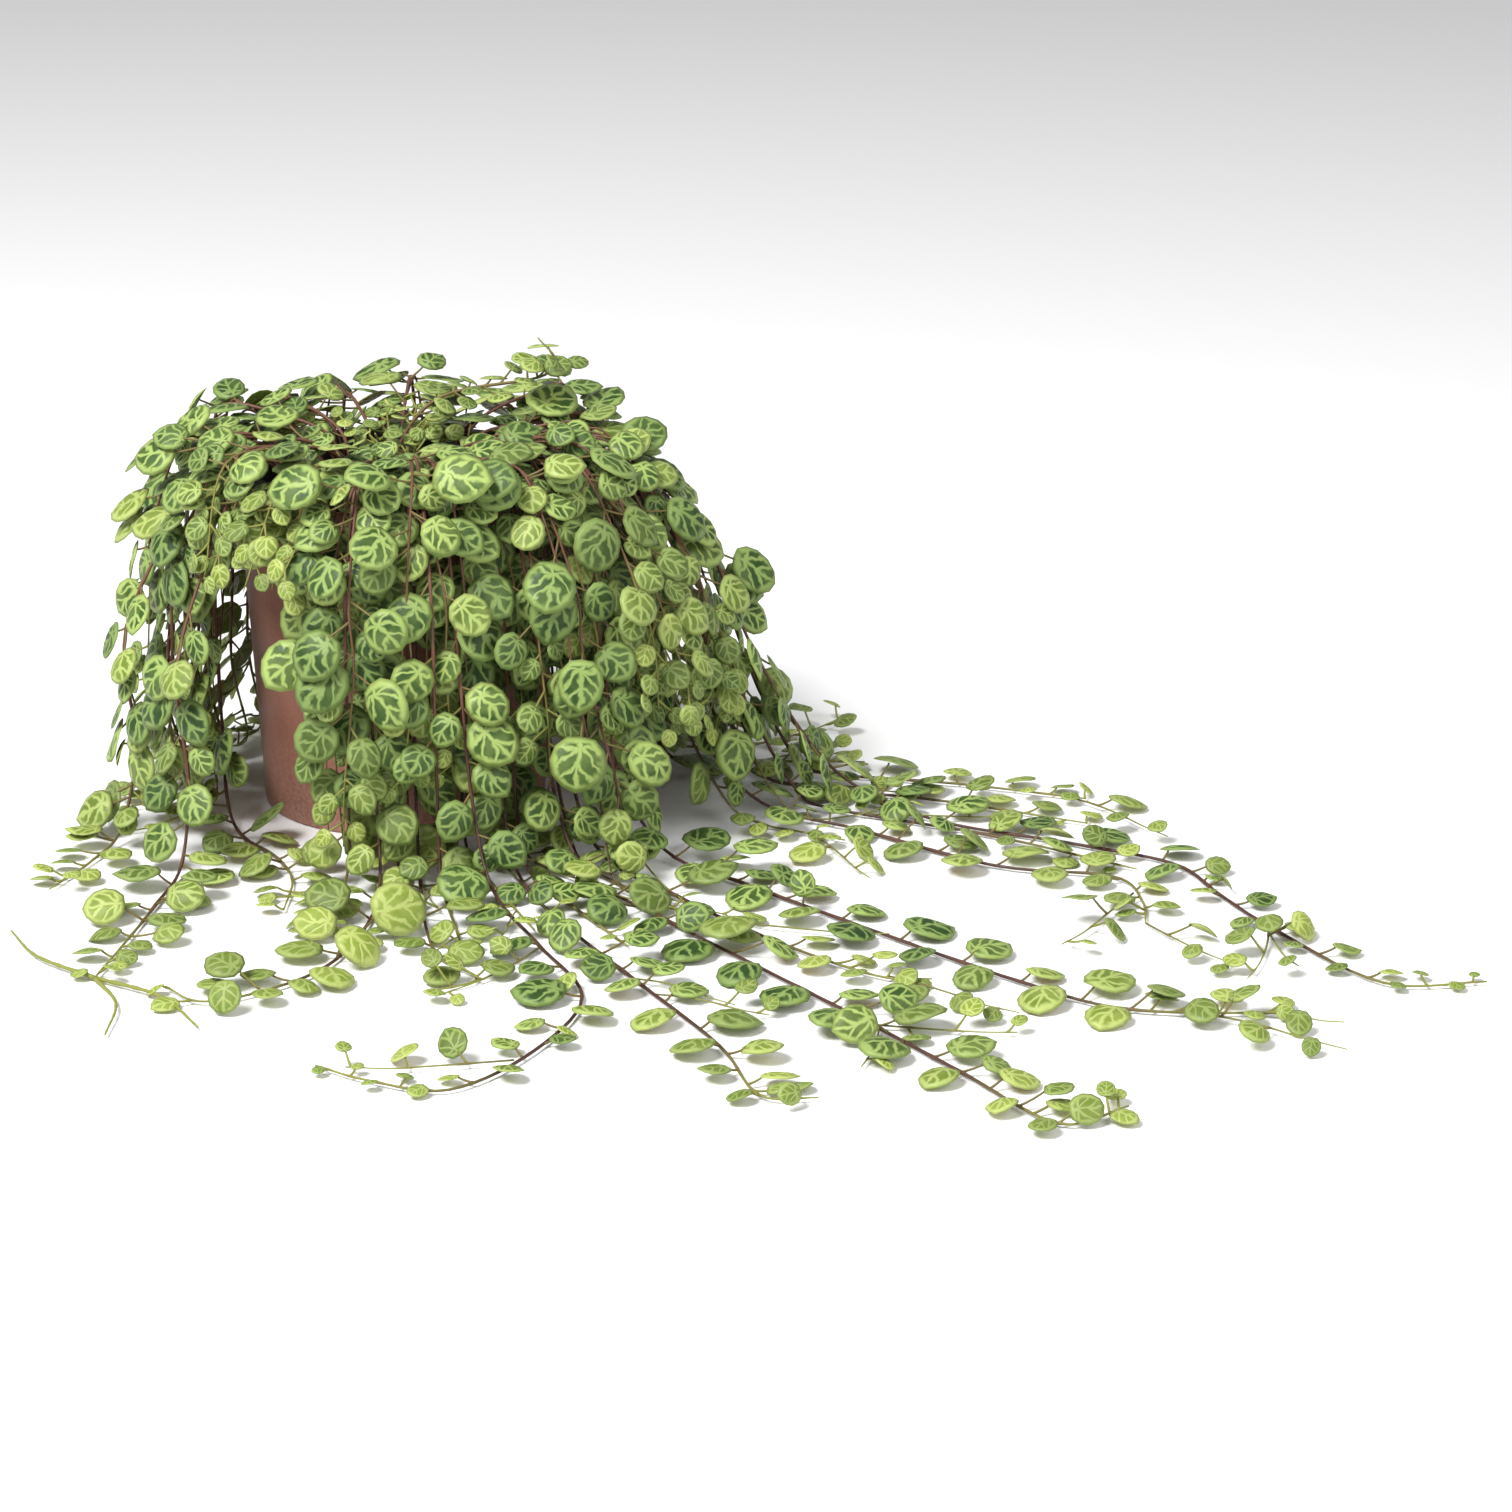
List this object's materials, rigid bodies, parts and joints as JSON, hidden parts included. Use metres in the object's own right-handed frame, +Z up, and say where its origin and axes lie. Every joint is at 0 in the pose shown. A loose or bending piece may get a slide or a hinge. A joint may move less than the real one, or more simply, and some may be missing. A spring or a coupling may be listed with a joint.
{
  "type": "potted string of turtles",
  "caption": "Potted string of turtles: round patterned leaves on thin vines hang over a terracotta pot and trail over the surface it stands on.",
  "frame": {"origin": "centre of the cover pot's underside, on the surface it stands on", "axes": "+Z up out of the pot; -Y is the front; the longest vines trail towards +X and -Y"},
  "size_m": [0.4023, 0.3809, 0.1405],
  "materials": {
    "terracotta": "smooth matt",
    "black_plastic": "moulded",
    "soil": "rough crumbly",
    "foliage": "waxy"
  },
  "bodies": {
    "root": {"cover_pot": "terracotta", "nursery_pot": "black_plastic", "potting_soil": "soil", "trailing_vine_01": "foliage", "trailing_vine_02": "foliage", "trailing_vine_03": "foliage", "trailing_vine_04": "foliage", "trailing_vine_05": "foliage", "trailing_vine_06": "foliage", "trailing_vine_07": "foliage", "trailing_vine_08": "foliage", "trailing_vine_09": "foliage", "trailing_vine_10": "foliage", "trailing_vine_11": "foliage", "trailing_vine_12": "foliage", "hanging_vine_01": "foliage", "hanging_vine_02": "foliage", "hanging_vine_03": "foliage", "hanging_vine_04": "foliage", "hanging_vine_05": "foliage", "hanging_vine_06": "foliage", "hanging_vine_07": "foliage", "hanging_vine_08": "foliage", "hanging_vine_09": "foliage", "hanging_vine_10": "foliage", "hanging_vine_11": "foliage", "hanging_vine_12": "foliage", "hanging_vine_13": "foliage", "hanging_vine_14": "foliage", "hanging_vine_15": "foliage", "hanging_vine_16": "foliage", "hanging_vine_17": "foliage", "hanging_vine_18": "foliage", "hanging_vine_19": "foliage", "hanging_vine_20": "foliage", "hanging_vine_21": "foliage", "hanging_vine_22": "foliage", "hanging_vine_23": "foliage", "hanging_vine_24": "foliage", "hanging_vine_25": "foliage", "hanging_vine_26": "foliage", "hanging_vine_27": "foliage", "hanging_vine_28": "foliage", "hanging_vine_29": "foliage", "hanging_vine_30": "foliage", "hanging_vine_31": "foliage", "hanging_vine_32": "foliage", "hanging_vine_33": "foliage", "hanging_vine_34": "foliage", "hanging_vine_35": "foliage", "hanging_vine_36": "foliage", "crown_shoot_01": "foliage", "crown_shoot_02": "foliage", "crown_shoot_03": "foliage", "crown_shoot_04": "foliage", "crown_shoot_05": "foliage", "crown_shoot_06": "foliage", "crown_shoot_07": "foliage", "crown_shoot_08": "foliage", "top_sprig": "foliage"}
  },
  "joints": []
}
